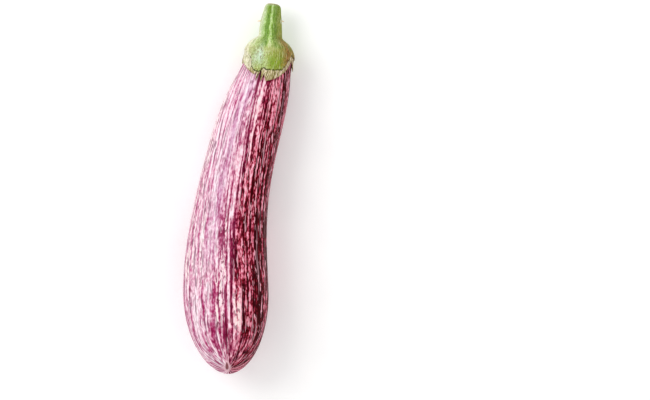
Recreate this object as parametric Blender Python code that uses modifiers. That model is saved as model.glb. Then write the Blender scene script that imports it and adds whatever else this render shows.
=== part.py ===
"""A long striped eggplant, as picked, lying on its side on a small flat spot.

Both solids are turned about a straight axis, shaped there by formulas, and laid along the fruit's bent
axis. A place on them is told by three numbers: its distance along the axis from the blossom end, its
angle round the axis (0 is up, 90 is towards +X), and its radius.

The frame: +Y runs from the blossom end towards the stem, +Z is up, and the origin is the centre of the
bounding box on the surface that the fruit lies on.
"""

import math
import random

import bmesh
import bpy
import numpy as np
from mathutils import Vector

MM = 0.001

# The bent axis
AXIS_START = (-6.446 * MM, -124.675 * MM)  # X and Y of the blossom end
AXIS_PITCH = math.radians(3.72)  # the stem end lies lower than the thick end
AXIS_STEP = 0.25 * MM  # spacing of the points that the axis is added up from
# Distance along the axis in millimetres, and its heading there in degrees from +Y towards +X
AXIS_HEADINGS = (
    (0, -1.8),
    (40, -2.6),
    (62, 0.0),
    (92, 5.1),
    (126, 10.6),
    (160, 15.2),
    (190, 18.4),
    (204, 15.9),
    (215, 9.6),
    (223, 2.2),
    (232, 1.8),
    (242, 5.4),
    (253, 8.0),
)
# The shoulder under the cap is askew: its sections lean towards the blossom end on the +X side
LEAN_SLOPE = 0.12
LEAN_RISE = (198 * MM, 220 * MM)  # the lean grows over this stretch
LEAN_FALL = (229 * MM, 240 * MM)  # and dies out over this one

# The fruit
FRUIT_LENGTH = 229.2 * MM
FRUIT_SIDES = 48
FRUIT_ROWS = 60
EVEN_ROWS = 0.1  # share of the rows' spacing that is even, the rest closes up towards both ends
# Distance along the axis and radius, in millimetres, before the two ends are rounded off
BODY_RADII = (
    (0, 28.9),
    (30, 28.9),
    (57, 28.9),
    (84, 27.2),
    (117, 24.4),
    (151, 22.7),
    (169, 22.0),
    (186, 20.5),
    (200, 18.2),
    (209, 16.4),
    (218, 15.5),
    (230, 14.9),
)
BLOSSOM_ROUNDING = 57 * MM  # length over which the blossom end closes
BLOSSOM_POWERS = (2.2, 0.55)  # a blunt end with a slightly drawn-in tip
SHOULDER_ROUNDING = 11.5 * MM  # length over which the fruit closes under the calyx
WAVES = ((2, 0.010, 60 * MM), (3, 0.005, 35 * MM))  # lobes round the fruit, share of radius, twist
WAVE_FADE = 20 * MM  # the waves die out over this length at each end
FLAT_DEPTH = 0.6 * MM  # how far the belly is pressed flat where it rests
SCAR_PLACE = 4 * MM  # the blossom scar's distance along the axis, on the upper side
SCAR_RADIUS = 3 * MM
SCAR_DEPTH = 0.5 * MM
SKIN_COLOUR = (0.52, 0.13, 0.30)
SKIN_ROUGHNESS = 0.32

# The calyx and its stem
GAP = 0.3 * MM  # clearance between the calyx and the skin under it
STEM_END = 253.3 * MM
STEM_RADII = ((217, 8.5), (231, 8.2), (236, 7.9), (242, 7.2), (247, 6.3), (251, 5.6), (253, 5.2))
STEM_ROWS = 8
CUT_ROUNDING = 3.0 * MM  # how far the cut end's rounded rim reaches down
CUT_POWER = 4  # the higher, the flatter the cut end and the tighter its rim
CUT_SHARES = (0.0, 0.5, 0.75, 0.92)  # shares of the stem's radius that the cut end's rows lie at
RIBS = 6  # ridges that run along the stem and on over the cap
STEM_RIB = 0.06  # height of the ridges on the stem, as a share of its radius
CAP_RIB = 0.5 * MM  # and on the cap
FLARE_START = 233 * MM  # here the stem begins to widen into the cap
FLARE_END = 224 * MM  # and from here down the cap follows the skin
FLARE_ROWS = 6
FILLET = 1.2 * MM  # how softly the stem runs into the cap
CAP_TOP = 231.4 * MM  # where the cap's dome would close if there were no stem
CAP_ROUNDING = 13 * MM
CAP_ROWS = 8
INNER_ROWS = 9
INNER_TOP_ROWS = 3
CAP_THICK = 1.9 * MM  # beside the stem
MARGIN_THICK = 0.7 * MM  # at the margin
THINNING = (0.1, 1.0)  # the shares of a lobe's length between which it thins to that
RIB_FADE = (0.5, 1.0)  # and between which the cap's ridges die out
EDGE_ROUNDING = MARGIN_THICK / 3  # how far the middle of the margin's edge stands proud
COLUMNS = 14  # vertices across each lobe
FIRST_NOTCH = -11.0  # degrees, the shallow notch in the middle of the front
# Each lobe's width in degrees, the share of it at which its tip lies, and the distances of the tip and
# of the notch after it in millimetres
LOBES = (
    (76, 0.20, 200.0, 218.5),
    (50, 0.52, 213.0, 216.5),
    (50, 0.50, 206.0, 213.5),
    (52, 0.50, 203.0, 212.0),
    (52, 0.50, 206.0, 214.0),
    (80, 0.88, 202.0, 203.5),
)
LOBE_BLUNTNESS = 1.1
RAGGED = 0.3 * MM  # how far the margin wanders from its drawn line
CALYX_COLOUR = (0.38, 0.48, 0.16)
CALYX_ROUGHNESS = 0.55

# Prickles: those that stand on the stem's two sides, and the rest drawn at random for its underside
PRICKLES = ((-88, 240.9, 2.1), (86, 242.0, 1.5))  # degrees, and place and height in millimetres
PRICKLE_DRAWS = 4
PRICKLE_SPREAD = (125, 235)  # degrees
DRAWN_HEIGHT = 2.1  # millimetres
PRICKLE_ROOT = 1.0 * MM  # sunk into the stem
PRICKLE_LEAN = 0.3 * MM  # how far the tip leans to the fruit
PRICKLE_RADIUS = 0.8 * MM
PRICKLE_POINT = 0.07 * MM
PRICKLE_SIDES = 6
PRICKLE_RANGE = (215 * MM, 247 * MM)
SEED = 7

MERGE = 0.00001


def smooth_curve(stations):
    """The natural cubic spline through (millimetres, value) stations, as a function of metres."""
    places, values = np.array(stations, dtype=float).T
    places = places * MM
    spans = np.diff(places)
    slopes = np.diff(values) / spans
    count = len(places)
    system = np.eye(count)
    wanted = np.zeros(count)
    for i in range(1, count - 1):
        system[i, i - 1 : i + 2] = spans[i - 1], 2 * (spans[i - 1] + spans[i]), spans[i]
        wanted[i] = 6 * (slopes[i] - slopes[i - 1])
    bends = np.linalg.solve(system, wanted)

    def value(place):
        place = np.clip(place, places[0], places[-1])
        i = np.clip(np.searchsorted(places, place) - 1, 0, count - 2)
        before = place - places[i]
        after = places[i + 1] - place
        cubic = (bends[i] * after**3 + bends[i + 1] * before**3) / (6 * spans[i])
        left = (values[i] / spans[i] - bends[i] * spans[i] / 6) * after
        right = (values[i + 1] / spans[i] - bends[i + 1] * spans[i] / 6) * before
        return cubic + left + right

    return value


heading_at = smooth_curve(AXIS_HEADINGS)
body_at = smooth_curve(BODY_RADII)
stem_at = smooth_curve(STEM_RADII)


def rounded_off(place, top, rounding):
    """The factor, from 1 to 0, that closes a dome whose top is at that place."""
    climb = np.clip((place - (top - rounding)) / rounding, 0, 1)
    return np.sqrt(1 - climb**2)


def ease(low, high, value):
    """0 below low, 1 above high, and smooth between."""
    share = np.clip((value - low) / (high - low), 0, 1)
    return share * share * (3 - 2 * share)


def uneven(place, angle):
    """The fruit isn't quite round: the share by which its radius grows or shrinks."""
    fade = ease(0, WAVE_FADE, place) * ease(0, WAVE_FADE, FRUIT_LENGTH - place)
    waves = sum(share * np.cos(count * angle + place / twist) for count, share, twist in WAVES)
    return 1 + fade * waves


def body_radius(place, angle):
    """The body's radius with its blossom end closed, and its stem end still open."""
    outer, inner = BLOSSOM_POWERS
    closing = np.clip(1 - place / BLOSSOM_ROUNDING, 0, 1)
    blossom_end = (1 - closing**outer) ** inner
    return body_at(place) * MM * blossom_end * uneven(place, angle)


def skin_radius(place, angle):
    return body_radius(place, angle) * rounded_off(place, FRUIT_LENGTH, SHOULDER_ROUNDING)


def axis_points():
    """Places along the axis, and the axis's X and Y there, added up from its headings."""
    places = np.arange(0, STEM_END + AXIS_STEP, AXIS_STEP)
    heading = np.radians(heading_at(places + AXIS_STEP / 2))
    run = AXIS_STEP * math.cos(AXIS_PITCH)
    x = AXIS_START[0] + np.concatenate(([0], np.cumsum(run * np.sin(heading))[:-1]))
    y = AXIS_START[1] + np.concatenate(([0], np.cumsum(run * np.cos(heading))[:-1]))
    return places, x, y


def resting_height():
    """The axis's height at the blossom end that presses the belly FLAT_DEPTH into the surface."""
    places = np.arange(0, FRUIT_LENGTH, AXIS_STEP)
    reach = places * math.sin(AXIS_PITCH) + skin_radius(places, math.pi) * math.cos(AXIS_PITCH)
    return reach.max() - FLAT_DEPTH


AXIS_PLACES, AXIS_X, AXIS_Y = axis_points()
AXIS_HEIGHT = resting_height()


def leaning(place, angle, radius):
    """The place moved along the axis as far as the shoulder's sections lean there."""
    slope = LEAN_SLOPE * ease(*LEAN_RISE, place) * (1 - ease(*LEAN_FALL, place))
    return place - slope * radius * np.sin(angle)


def lay_on_axis(place, angle, radius):
    """World coordinates of points given by place, angle and radius, one row each."""
    place = leaning(place, angle, radius)
    heading = np.radians(heading_at(place))
    rise = -math.sin(AXIS_PITCH)
    level = math.cos(AXIS_PITCH)
    side = np.stack((np.cos(heading), -np.sin(heading), np.zeros_like(heading)), axis=-1)
    ahead = np.stack(
        (np.sin(heading) * level, np.cos(heading) * level, np.full_like(heading, rise)), axis=-1
    )
    up = np.cross(side, ahead)
    centre = np.stack(
        (
            np.interp(place, AXIS_PLACES, AXIS_X),
            np.interp(place, AXIS_PLACES, AXIS_Y),
            AXIS_HEIGHT + place * rise,
        ),
        axis=-1,
    )
    across = (radius * np.sin(angle))[:, None] * side
    upward = (radius * np.cos(angle))[:, None] * up
    return centre + across + upward


def clear_scene():
    for item in list(bpy.data.objects):
        bpy.data.objects.remove(item, do_unlink=True)


def new_collection(name):
    collection = bpy.data.collections.new(name)
    bpy.context.scene.collection.children.link(collection)
    return collection


def new_material(name, colour, roughness):
    material = bpy.data.materials.new(name)
    material.use_nodes = True
    shader = material.node_tree.nodes["Principled BSDF"]
    shader.inputs["Base Color"].default_value = (*colour, 1)
    shader.inputs["Roughness"].default_value = roughness
    shader.inputs["Metallic"].default_value = 0
    return material


def read_mesh(item):
    """The object's mesh with its modifiers applied."""
    bpy.context.view_layer.update()
    return bpy.data.meshes.new_from_object(item.evaluated_get(bpy.context.evaluated_depsgraph_get()))


def turned(name, profile, sides, collection):
    """Spins (radius, height) points about Z. Each vertex keeps the number of its point as "row"."""
    outline = bpy.data.meshes.new(name)
    points = [(radius, 0, height) for radius, height in profile]
    outline.from_pydata(points, [(i, i + 1) for i in range(len(points) - 1)], [])
    outline.attributes.new("row", "INT", "POINT").data.foreach_set("value", range(len(points)))
    item = bpy.data.objects.new(name, outline)
    collection.objects.link(item)
    screw = item.modifiers.new("Screw", "SCREW")
    screw.steps = sides
    screw.render_steps = sides
    screw.use_merge_vertices = True
    screw.merge_threshold = MERGE
    item.data = read_mesh(item)
    item.modifiers.clear()
    bpy.data.meshes.remove(outline)
    return item


def vertex_array(mesh):
    found = np.empty(len(mesh.vertices) * 3)
    mesh.vertices.foreach_get("co", found)
    return found.reshape(-1, 3)


def finish(item, positions, material):
    item.data.vertices.foreach_set("co", positions.ravel())
    item.data.update()
    item.data.materials.clear()
    item.data.materials.append(material)
    item.data.shade_smooth()


def scar_dimple(place, angle):
    """How far the skin is drawn in at the blossom scar."""
    along = place - SCAR_PLACE
    across = skin_radius(place, angle) * np.sin(angle)
    near = np.exp(-(along**2 + across**2) / SCAR_RADIUS**2)
    return SCAR_DEPTH * near * (np.cos(angle) > 0)


def make_fruit(collection):
    """The fruit, with more rows towards its two rounded ends, pressed flat where it rests."""
    share = np.linspace(0, 1, FRUIT_ROWS)
    closing_up = (1 - np.cos(math.pi * share)) / 2
    places = FRUIT_LENGTH * (EVEN_ROWS * share + (1 - EVEN_ROWS) * closing_up)
    profile = [(radius, place) for place, radius in zip(places, skin_radius(places, 0 * places))]
    item = turned("fruit", profile[::-1], FRUIT_SIDES, collection)
    straight = vertex_array(item.data)
    place = straight[:, 2]
    angle = np.arctan2(straight[:, 1], straight[:, 0])
    radius = skin_radius(place, angle) - scar_dimple(place, angle)
    positions = lay_on_axis(place, angle, np.maximum(radius, 0))
    positions[:, 2] = np.maximum(positions[:, 2], 0)
    finish(item, positions, new_material("eggplant_skin", SKIN_COLOUR, SKIN_ROUGHNESS))
    return item


def margin_line(rng):
    """The angle of each column and how far along the axis the margin is there, lobe by lobe."""
    angles = []
    edges = []
    start = FIRST_NOTCH
    notch = LOBES[-1][-1]
    for width, middle, tip, next_notch in LOBES:
        for column in range(COLUMNS):
            across = column / COLUMNS
            share = np.interp(across, (0, middle, 1), (0, 0.5, 1))
            base = notch + (next_notch - notch) * share
            bulge = 1 - abs(2 * share - 1) ** LOBE_BLUNTNESS
            angles.append(math.radians(start + width * across))
            edges.append((base + (tip - base) * bulge) * MM + RAGGED * rng.uniform(-1, 1))
        start += width
        notch = next_notch
    return np.array(angles), np.array(edges)


def calyx_rows():
    """The rows of the calyx from the cut end to its inner top: the kind of each, and its measure."""
    stem = np.linspace(STEM_END - CUT_ROUNDING, FLARE_START, STEM_ROWS)
    flare = np.linspace(FLARE_START, FLARE_END, FLARE_ROWS + 1)[1:]
    cap = np.linspace(0, 1, CAP_ROWS + 1)[1:]
    inner = np.linspace(1, 0, INNER_ROWS + 1)
    dome = np.linspace(0, 1, INNER_TOP_ROWS + 1)[1:]
    rows = [("cut", share) for share in CUT_SHARES]
    rows += [("stem", place) for place in np.concatenate((stem, flare))]
    rows += [("cap", share) for share in cap]
    rows += [("rim", 1.0)]
    rows += [("inner", share) for share in inner]
    rows += [("dome", share) for share in dome]
    return rows


def outer_radius(place, angle, cover, rib):
    """The green outer surface: the cap over the skin, run softly into the ribbed stem."""
    cap = (body_radius(place, angle) + cover) * rounded_off(place, CAP_TOP, CAP_ROUNDING)
    stem = stem_at(place) * MM * (1 + STEM_RIB * rib)
    larger = np.maximum(cap, stem)
    return larger + FILLET * np.log(np.exp((cap - larger) / FILLET) + np.exp((stem - larger) / FILLET))


def inner_radius(place, angle):
    top = FRUIT_LENGTH + GAP
    return (body_radius(place, angle) + GAP) * rounded_off(place, top, SHOULDER_ROUNDING + GAP)


def row_points(kind, measure, angle, edge, rib):
    """The place and radius of one row's points, column by column."""
    above = CAP_THICK + GAP
    if kind == "cut":
        place = np.full_like(angle, STEM_END - CUT_ROUNDING * (1 - math.sqrt(1 - measure**CUT_POWER)))
        return place, outer_radius(place, angle, above, rib) * measure
    if kind == "stem":
        place = np.full_like(angle, measure)
        return place, outer_radius(place, angle, above + CAP_RIB * rib, rib)
    if kind in ("cap", "rim", "inner"):
        place = FLARE_END + (edge - FLARE_END) * measure
        thick = CAP_THICK + (MARGIN_THICK - CAP_THICK) * ease(*THINNING, measure)
        ridge = CAP_RIB * rib * (1 - ease(*RIB_FADE, measure))
        if kind == "cap":
            return place, outer_radius(place, angle, GAP + thick + ridge, rib)
        if kind == "inner":
            return place, inner_radius(place, angle)
        return place - EDGE_ROUNDING, inner_radius(place, angle) + MARGIN_THICK / 2
    top = FRUIT_LENGTH + GAP
    climb = math.sin(measure * math.pi / 2)
    place = np.full_like(angle, FLARE_END + (top - FLARE_END) * climb)
    return place, inner_radius(place, angle) * (measure < 1)


def make_calyx(collection, rng):
    """The calyx cap with its lobes and the ribbed stem, in one body."""
    angles, edges = margin_line(rng)
    rows = calyx_rows()
    sides = len(angles)
    ribs = np.cos(RIBS * angles)
    table = [row_points(kind, measure, angles, edges, ribs) for kind, measure in rows]
    profile = [(radius.mean(), place.mean()) for place, radius in table]
    item = turned("calyx_stem", profile, sides, collection)
    straight = vertex_array(item.data)
    row = np.empty(len(straight), dtype=int)
    item.data.attributes["row"].data.foreach_get("value", row)
    turn = np.arctan2(straight[:, 1], straight[:, 0]) / (2 * math.pi) * sides
    column = np.round(turn).astype(int) % sides
    place = np.array([found[0] for found in table])[row, column]
    radius = np.array([found[1] for found in table])[row, column]
    positions = lay_on_axis(place, angles[column], radius)
    finish(item, positions, new_material("eggplant_calyx", CALYX_COLOUR, CALYX_ROUGHNESS))
    return item


def prickle_places(rng):
    """Each prickle's angle in degrees, and its place and height in metres."""
    found = [(angle, place * MM, height * MM) for angle, place, height in PRICKLES]
    low, high = PRICKLE_SPREAD
    for number in range(PRICKLE_DRAWS):
        share = (number + rng.uniform(0.2, 0.8)) / PRICKLE_DRAWS
        found.append((low + (high - low) * share, rng.uniform(*PRICKLE_RANGE), DRAWN_HEIGHT * MM))
    return found


def add_prickles(calyx, rng):
    """Cones that stand out of the stem and cap, with their roots sunk in, joined by one union."""
    spikes = new_collection("prickles")
    above = CAP_THICK + GAP
    for degrees, place, height in prickle_places(rng):
        angle = np.array([math.radians(degrees)])
        along = np.array([place])
        surface = outer_radius(along, angle, above, 0)
        foot = lay_on_axis(along, angle, surface - PRICKLE_ROOT)[0]
        tip = lay_on_axis(along - PRICKLE_LEAN, angle, surface + height)[0]
        spikes.objects.link(cone_between(foot, tip))
    union = calyx.modifiers.new("Boolean", "BOOLEAN")
    union.operation = "UNION"
    union.operand_type = "COLLECTION"
    union.collection = spikes
    joined = read_mesh(calyx)
    calyx.modifiers.clear()
    calyx.data = joined
    for spike in list(spikes.objects):
        bpy.data.objects.remove(spike, do_unlink=True)
    bpy.data.collections.remove(spikes)


def cone_between(foot, tip):
    """A slim pointed cone from foot to tip."""
    run = Vector(tip) - Vector(foot)
    work = bmesh.new()
    bmesh.ops.create_cone(
        work,
        cap_ends=True,
        segments=PRICKLE_SIDES,
        radius1=PRICKLE_RADIUS,
        radius2=PRICKLE_POINT,
        depth=run.length,
    )
    mesh = bpy.data.meshes.new("prickle")
    work.to_mesh(mesh)
    work.free()
    spike = bpy.data.objects.new("prickle", mesh)
    spike.location = (Vector(foot) + Vector(tip)) / 2
    spike.rotation_euler = run.to_track_quat("Z", "Y").to_euler()
    return spike


def main():
    clear_scene()
    rng = random.Random(SEED)
    eggplant = new_collection("eggplant")
    make_fruit(eggplant)
    calyx = make_calyx(eggplant, rng)
    add_prickles(calyx, rng)


main()
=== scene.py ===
"""The finished look of a long striped eggplant, lying on its side and seen from straight above.

Two pieces and their prickles stand for the two solids. They repeat the solids' formulas on a finer
mesh: a place is told by its distance along the bent axis from the blossom end, its angle round the
axis (0 is up, 90 is towards +X) and its radius. Lengths are in metres unless a name says otherwise.
"""

import math
import random

import bpy
import numpy as np
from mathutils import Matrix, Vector


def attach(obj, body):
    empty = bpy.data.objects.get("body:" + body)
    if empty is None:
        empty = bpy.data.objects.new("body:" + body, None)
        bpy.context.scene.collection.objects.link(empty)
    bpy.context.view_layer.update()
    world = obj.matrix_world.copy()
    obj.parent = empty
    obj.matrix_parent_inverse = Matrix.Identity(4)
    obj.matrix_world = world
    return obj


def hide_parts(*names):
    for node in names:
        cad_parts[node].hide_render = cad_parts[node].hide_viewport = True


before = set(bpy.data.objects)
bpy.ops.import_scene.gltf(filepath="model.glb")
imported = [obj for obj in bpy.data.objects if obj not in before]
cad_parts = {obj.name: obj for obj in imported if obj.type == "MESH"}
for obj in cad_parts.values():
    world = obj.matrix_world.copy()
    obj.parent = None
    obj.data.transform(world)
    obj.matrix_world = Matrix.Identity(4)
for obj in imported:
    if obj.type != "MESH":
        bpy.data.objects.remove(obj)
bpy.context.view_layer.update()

MM = 0.001

# The bent axis, as in the solids
AXIS_START = (-6.446 * MM, -124.675 * MM)  # X and Y of the blossom end
AXIS_PITCH = math.radians(3.72)  # the stem end lies lower than the thick end
AXIS_STEP = 0.25 * MM  # spacing of the points that the axis is added up from
# Distance along the axis in millimetres, and its heading there in degrees from +Y towards +X
AXIS_HEADINGS = (
    (0, -1.8), (40, -2.6), (62, 0.0), (92, 5.1), (126, 10.6), (160, 15.2), (190, 18.4), (204, 15.9),
    (215, 9.6), (223, 2.2), (232, 1.8), (242, 5.4), (253, 8.0),
)
# The shoulder under the cap is askew: its sections lean towards the blossom end on the +X side
LEAN_SLOPE = 0.12
LEAN_RISE = (198 * MM, 220 * MM)  # the lean grows over this stretch
LEAN_FALL = (229 * MM, 240 * MM)  # and dies out over this one

# The fruit
FRUIT_LENGTH = 229.2 * MM
# Distance along the axis and radius, in millimetres, before the two ends are rounded off
BODY_RADII = (
    (0, 28.9), (30, 28.9), (57, 28.9), (84, 27.2), (117, 24.4), (151, 22.7), (169, 22.0),
    (186, 20.5), (200, 18.2), (209, 16.4), (218, 15.5), (230, 14.9),
)
BLOSSOM_ROUNDING = 57 * MM
BLOSSOM_POWERS = (2.2, 0.55)
SHOULDER_ROUNDING = 11.5 * MM
# How many waves run round the fruit, their share of its radius, and the length that turns them a radian
WAVES = ((2, 0.010, 60 * MM), (3, 0.005, 35 * MM))
WAVE_FADE = 20 * MM
FLAT_DEPTH = 0.6 * MM
SCAR_PLACE = 4 * MM
SCAR_RADIUS = 3 * MM
SCAR_DEPTH = 0.5 * MM

# The calyx and its stem, as in the solids
GAP = 0.3 * MM
STEM_END = 253.3 * MM
STEM_RADII = ((217, 8.5), (231, 8.2), (236, 7.9), (242, 7.2), (247, 6.3), (251, 5.6), (253, 5.2))
CUT_ROUNDING = 3.0 * MM
CUT_POWER = 4
RIBS = 6
STEM_RIB = 0.06
CAP_RIB = 0.5 * MM
FLARE_END = 224 * MM
FILLET = 1.2 * MM
CAP_TOP = 231.4 * MM
CAP_ROUNDING = 13 * MM
CAP_THICK = 1.9 * MM
MARGIN_THICK = 0.7 * MM
THINNING = (0.1, 1.0)
RIB_FADE = (0.5, 1.0)
COLUMNS = 14
FIRST_NOTCH = -11.0
# Each lobe's width in degrees, the share of it at which its tip lies, and the distances of the tip and
# of the notch after it in millimetres
LOBES = (
    (76, 0.2, 200, 218.5),
    (50, 0.52, 213, 216.5),
    (50, 0.5, 206, 213.5),
    (52, 0.5, 203, 212),
    (52, 0.5, 206, 214),
    (80, 0.88, 202, 203.5),
)
LOBE_BLUNTNESS = 1.1
RAGGED = 0.3 * MM
PRICKLES = ((-88, 240.9, 2.1), (86, 242.0, 1.5))
PRICKLE_DRAWS = 4
PRICKLE_SPREAD = (125, 235)
PRICKLE_JITTER = (0.2, 0.8)
DRAWN_HEIGHT = 2.1
PRICKLE_ROOT = 1.0 * MM
PRICKLE_LEAN = 0.3 * MM
PRICKLE_RADIUS = 0.8 * MM
PRICKLE_RANGE = (215 * MM, 247 * MM)
SEED = 7

# The finer meshes
FRUIT_COLUMNS = 288
FRUIT_ROWS = 340
FINE = 6  # fine columns for each of the solid's
CUT_ROWS = 12
STEM_ROWS = 46
CAP_ROWS = 66
RIM_ROWS = 3
INNER_ROWS = 14
DOME_ROWS = 8
PRICKLE_SIDES = 10
PRICKLE_RINGS = 8
PRICKLE_TAPER = 0.6
PRICKLE_BEND = 0.2
EVEN_ROWS = 0.35  # the share of the fruit's rows that are spaced evenly; the rest crowd towards its ends
CUT_REACH = 0.98  # the rows of the cut face stop at this share of the stem's radius

# The calyx's fine relief
FIBRE_HEIGHT = 0.06 * MM
FIBRE_COUNTS = (23, 31, 44, 57)
FIBRE_DRIFT = 0.06  # how far a ridge may wander sideways over FIBRE_RUN, in radians
FIBRE_RUN = 10 * MM
FIBRE_FADE = (0.7, 1.0)  # shares of the way to the margin over which the ridges die out
CUT_FADE_POWER = 8  # they also die out towards the middle of the cut face
WRINKLE_HEIGHT = 0.22 * MM
# How many run round the cap, and the length along it that turns each by one radian
WRINKLES = ((5, 4.5 * MM), (8, 3 * MM), (13, 2.5 * MM), (17, 2 * MM))
WRINKLE_START = (0.0, 0.3)
WRINKLE_FADE = (0.6, 0.95)
# The thick green part ends above the margin, at a crease: degrees and distance in millimetres. At 195 mm
# the crease would lie beyond the margin, so the far left has none
CREASE = (
    (-90, 195), (-50, 195), (-46.5, 213.2), (-44, 212.6), (-40, 209.6), (-36, 206.6),
    (-27, 204.8), (-18, 204.2), (-12, 205.4), (-7, 208), (-1, 207.2), (12, 208.4), (34, 210.2),
    (41, 212.6), (48, 217), (56, 220.6), (75, 220), (90, 218.5), (112, 220), (140, 211),
    (165, 216.5), (191, 208), (217, 215), (243, 211),
)
BAND_STEP = 0.35 * MM  # how much thinner the pale band below the crease is
CREASE_DEPTH = 0.30 * MM
CREASE_WIDTH = 0.45 * MM
CREASE_START = (0.1, 0.4)  # shares of the way to the margin over which the crease sets in
# Torn tips at the front: degrees, half width in degrees, and how far the margin is drawn back there, or
# let down where negative, in millimetres
TEARS = (
    (-20.5, 1.2, 1.8),
    (-16, 1.9, -5.8),
    (-11.5, 1.5, 4.2),
    (-6, 1.7, -5),
    (-2.6, 1, 1.6),
)
MARGIN_LIFT = 0.25 * MM  # the margin stands off the skin a little
LIFT_START = (0.8, 1.0)

# The skin's flush round the blossom end, the middle and the neck, darker on the +X side away from the key
# light, partly the fruit's own wine colour and partly painted shade: degrees, and a value from 0 to 1
FLUSH_AND_SHADE_END = (
    (-150, 0.45), (-90, 0.44), (-50, 0.4), (-20, 0.45), (5, 0.57), (30, 0.69), (55, 0.87),
    (85, 0.92), (140, 0.6),
)
FLUSH_AND_SHADE_MIDDLE = (
    (-150, 0.46), (-110, 0.4), (-75, 0.39), (-50, 0.36), (-34, 0.39), (-20, 0.42), (-8, 0.48),
    (2, 0.5), (9, 0.57), (15, 0.69), (28, 0.82), (45, 0.9), (62, 0.95), (90, 0.88), (150, 0.58),
)
FLUSH_AND_SHADE_NECK = (
    (-150, 0.46), (-100, 0.38), (-65, 0.37), (-42, 0.37), (-26, 0.39), (-12, 0.47), (2, 0.56),
    (18, 0.67), (36, 0.8), (55, 0.88), (90, 0.88), (150, 0.58),
)
END_FADE = (16 * MM, 44 * MM)  # the blossom end's values pass into the middle's over this stretch
NECK_FADE = (125 * MM, 180 * MM)  # and the middle's into the neck's over this one
# The streaks wind round the fruit towards its neck: distance in millimetres, and degrees
TWIST = (
    (0, 0), (68, 0), (102, -4), (122, -7), (149, -11), (162, -15), (180, -19.5), (199, -25),
    (229, -30),
)
# Streaks that stand in their own places: degrees, half width in degrees, first and last place in
# millimetres, and how much they flush the skin, or pale it where negative
STREAKS = (
    (0.6, 2, 22, 58, 0.44),
    (-13, 1.8, 50, 58, 0.38),
    (-3.5, 3.2, 21, 34, 0.4),
    (8.2, 2.2, 26, 60, 0.2),
    (2, 14, 4, 24, 0.2),
    (-70, 12, 28, 62, 0.05),
    (-26, 8, 60, 94, 0.12),
    (3, 6, 126, 170, 0.1),
    (13, 6, 165, 204, 0.1),
    (4.6, 0.65, 32, 106, -0.66),
    (9.5, 3.5, 60, 92, 0.2),
    (18, 6, 26, 54, -0.24),
    (56, 15, 18, 112, 0.18),
    (-31, 4, 40, 62, 0.1),
    (-52, 3, 30, 66, 0.1),
    (16, 1.8, 160, 203, 0.26),
    (14.5, 1.8, 192, 214, 0.42),
    (-6, 13, 186, 214, -0.14),
    (47, 0.9, 118, 202, -0.36),
    (-24, 1.8, 94, 118, 0.2),
    (-61, 2.2, 62, 96, 0.18),
    (-42, 2.2, 140, 200, -0.16),
    (26, 0.8, 110, 190, -0.34),
    (64, 0.8, 96, 170, -0.28),
    (36, 0.6, 50, 110, -0.26),
    (127, 2.6, 60, 120, -0.3),
    (-128, 3, 80, 150, 0.25),
    (170, 2.4, 100, 170, 0.25),
)
STREAK_SOFTNESS = 6  # their ends fade over this many millimetres either way
# Zones with a creamy ground, and with dark flecks: degrees, half width in degrees, first and last place
# in millimetres, and strength
CREAM_ZONES = (
    (-9, 5, 28, 64, 1),
    (-1.5, 3.5, 62, 108, 0.8),
    (16, 5, 28, 52, 0.9),
    (-62, 14, 60, 214, 0.8),
    (-36, 5, 60, 110, 0.5),
    (24, 9, 150, 204, 0.4),
    (150, 10, 50, 130, 0.5),
    (-160, 8, 90, 180, 0.5),
)
FLECK_ZONES = (
    (-8, 8, 26, 66, 1),
    (-3, 6, 60, 112, 1),
    (16, 7, 22, 56, 0.8),
    (-31, 8, 34, 66, 0.7),
    (-25, 60, 18, 118, 0.38),
    (0, 70, 8, 26, 0.6),
    (-60, 16, 24, 215, 0.65),
    (10, 14, 150, 215, 0.6),
    (-14, 12, 112, 150, 0.45),
    (165, 40, 30, 200, 0.6),
)
ZONE_SOFTNESS = 8
# Painted shadow on the skin in the slit that runs out from between the calyx's torn tips: distance in
# millimetres, and degrees
GAP_SHADOW = ((196.6, -4.5), (204.3, -11.5), (212.0, -12.0))
GAP_SHADOW_WIDTH = 1.3  # half of it, in degrees
GAP_SHADOW_FADE = (195.6, 200.6)  # it dies out over this stretch, in millimetres
# A painted lilac sheen, the key light's soft highlight laid into the colour, runs along the fruit: its
# middle and half width in degrees, and where it sets in
PAINTED_SHEEN_CENTRE = -21.0
PAINTED_SHEEN_WIDTH = 11.0
PAINTED_SHEEN_START = (60 * MM, 90 * MM)
# The streaks meet at the scar, which is above the axis: they are laid round a line that is tilted by this
# angle at the blossom end, turns about a point on the axis, and is the axis again from SCAR_TILT_REACH on
SCAR_TILT = math.radians(36)
SCAR_PIVOT = 15 * MM
SCAR_TILT_REACH = 46 * MM
GRAIN_RADIUS_MM = 25.0  # the patterns are laid out on a straight cylinder of this radius
NARROWING = (2 * MM, 30 * MM)  # over this stretch wide, short strokes pass into fine, long ones
# The dark drop on the scar: where its middle lies, its half length and half width, how much it narrows
# along its length, and the size and strength of a faint halo round it
SCAR_MARK_PLACE = 5.0 * MM
SCAR_MARK_ASIDE = -1.0 * MM
SCAR_MARK_LENGTH = 3.0 * MM
SCAR_MARK_WIDTH = 0.95 * MM
SCAR_MARK_TAPER = 0.5
SCAR_TAPER_RANGE = (-0.5, 1.0)  # in half lengths from the drop's middle
SCAR_HALO = 1.1
SCAR_HALO_SHARE = 0.35
SKIN_SWAY_MM = (1.1, 1.1, 0.0)  # the streaks waver sideways by up to this much
SKIN_SPECULAR = 0.02
SKIN_RELIEF = 0.06 * MM

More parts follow.
